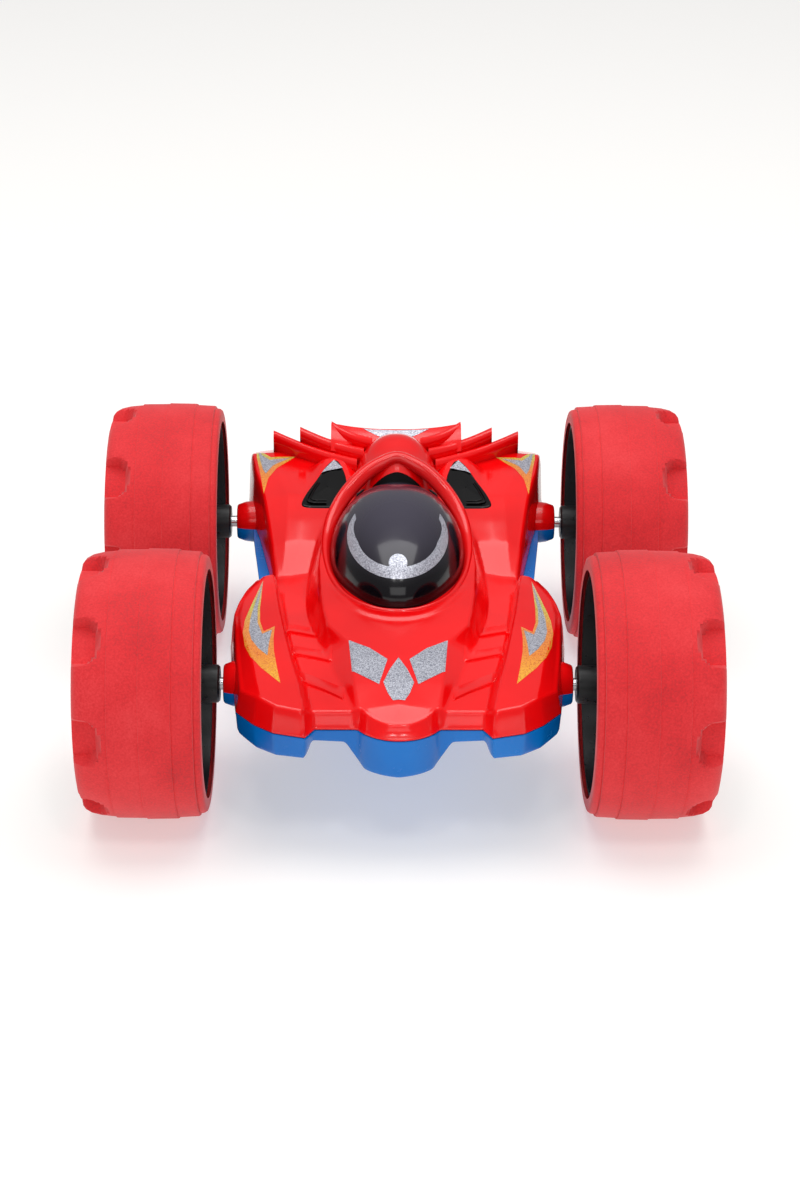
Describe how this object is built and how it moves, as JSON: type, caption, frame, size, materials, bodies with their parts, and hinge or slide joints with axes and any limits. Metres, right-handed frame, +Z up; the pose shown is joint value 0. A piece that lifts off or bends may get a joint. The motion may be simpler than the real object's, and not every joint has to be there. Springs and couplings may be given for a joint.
{
  "type": "radio-controlled stunt car",
  "caption": "Flat radio-controlled stunt car with oversized wheels that drives either way up, sculpted two-colour shell, domed canopy and finned tail.",
  "frame": {"origin": "on the ground, under the middle of the four wheels", "axes": "+X to the right when looking at the nose, +Y towards the tail, +Z up"},
  "size_m": [0.2054, 0.215, 0.085],
  "materials": {
    "red_gloss": "gloss",
    "blue_gloss": "gloss",
    "smoked": "gloss",
    "black_matt": "satin",
    "black_gloss": "gloss",
    "gear_nylon": "satin",
    "steel": "bright",
    "brass": "satin",
    "motor_can": "satin",
    "tyre_red": "matte foam-like",
    "screw_steel": "blackened",
    "battery_wrap": "shrink sleeve",
    "board_green": "solder mask"
  },
  "bodies": {
    "chassis": {"upper_shell": "red_gloss", "lower_shell": "blue_gloss", "canopy": "smoked", "cockpit_tub": "black_matt", "hoop_liner": "black_matt", "left_intake_insert": "black_gloss", "left_idler_pin": "steel", "left_motor": "motor_can", "left_gearbox_case": "black_matt", "left_gearbox_cover": "black_matt", "right_intake_insert": "black_gloss", "right_idler_pin": "steel", "right_motor": "motor_can", "right_gearbox_case": "black_matt", "right_gearbox_cover": "black_matt", "axle_bushes": "brass", "battery_pack": "battery_wrap", "battery_box": "black_matt", "battery_contacts": "steel", "circuit_board": "board_green", "control_chips": "black_matt", "power_switch": "black_matt", "charge_socket": "black_matt", "shell_screws": "screw_steel"},
    "wheel_front_left": {"tyre_front_left": "tyre_red", "rim_front_left": "black_gloss", "hub_cap_front_left": "black_gloss", "axle_front_left": "steel", "wheel_screw_front_left": "screw_steel"},
    "wheel_front_right": {"tyre_front_right": "tyre_red", "rim_front_right": "black_gloss", "hub_cap_front_right": "black_gloss", "axle_front_right": "steel", "wheel_screw_front_right": "screw_steel"},
    "wheel_rear_left": {"tyre_rear_left": "tyre_red", "rim_rear_left": "black_gloss", "hub_cap_rear_left": "black_gloss", "axle_rear_left": "steel", "wheel_screw_rear_left": "screw_steel", "left_axle_gear": "gear_nylon"},
    "wheel_rear_right": {"tyre_rear_right": "tyre_red", "rim_rear_right": "black_gloss", "hub_cap_rear_right": "black_gloss", "axle_rear_right": "steel", "wheel_screw_rear_right": "screw_steel", "right_axle_gear": "gear_nylon"},
    "left_idler": {"left_idler_gear": "gear_nylon"},
    "left_motor_rotor": {"left_motor_pinion": "brass"},
    "right_idler": {"right_idler_gear": "gear_nylon"},
    "right_motor_rotor": {"right_motor_pinion": "brass"},
    "battery_door": {"battery_cover": "blue_gloss", "battery_cover_screw": "screw_steel"},
    "power_knob": {"power_switch_knob": "black_matt"}
  },
  "joints": [
    {"name": "front_left_wheel_spin", "type": "hinge", "parent": "chassis", "child": "wheel_front_left", "pos_m": [0, -0.065, 0.0425], "axis": [1, 0, 0], "continuous": true},
    {"name": "front_right_wheel_spin", "type": "hinge", "parent": "chassis", "child": "wheel_front_right", "pos_m": [0, -0.065, 0.0425], "axis": [1, 0, 0], "continuous": true},
    {"name": "rear_left_wheel_spin", "type": "hinge", "parent": "chassis", "child": "wheel_rear_left", "pos_m": [0, 0.065, 0.0425], "axis": [1, 0, 0], "continuous": true},
    {"name": "rear_right_wheel_spin", "type": "hinge", "parent": "chassis", "child": "wheel_rear_right", "pos_m": [0, 0.065, 0.0425], "axis": [1, 0, 0], "continuous": true},
    {"name": "left_idler_spin", "type": "hinge", "parent": "chassis", "child": "left_idler", "pos_m": [0, 0.04888, 0.0425], "axis": [1, 0, 0], "continuous": true},
    {"name": "left_motor_spin", "type": "hinge", "parent": "chassis", "child": "left_motor_rotor", "pos_m": [0, 0.03276, 0.0425], "axis": [1, 0, 0], "continuous": true},
    {"name": "right_idler_spin", "type": "hinge", "parent": "chassis", "child": "right_idler", "pos_m": [0, 0.04888, 0.0425], "axis": [1, 0, 0], "continuous": true},
    {"name": "right_motor_spin", "type": "hinge", "parent": "chassis", "child": "right_motor_rotor", "pos_m": [0, 0.03276, 0.0425], "axis": [1, 0, 0], "continuous": true},
    {"name": "battery_door_slide", "type": "slide", "parent": "chassis", "child": "battery_door", "axis": [0, 0, -1], "range_m": [0, 0.03]},
    {"name": "power_switch_slide", "type": "slide", "parent": "chassis", "child": "power_knob", "axis": [0, 1, 0], "range_m": [0, 0.004]}
  ],
  "couplings": [
    {"joint": "left_idler_spin", "follows": "rear_left_wheel_spin", "ratio": -3},
    {"joint": "left_motor_spin", "follows": "rear_left_wheel_spin", "ratio": 9},
    {"joint": "right_idler_spin", "follows": "rear_right_wheel_spin", "ratio": -3},
    {"joint": "right_motor_spin", "follows": "rear_right_wheel_spin", "ratio": 9}
  ]
}
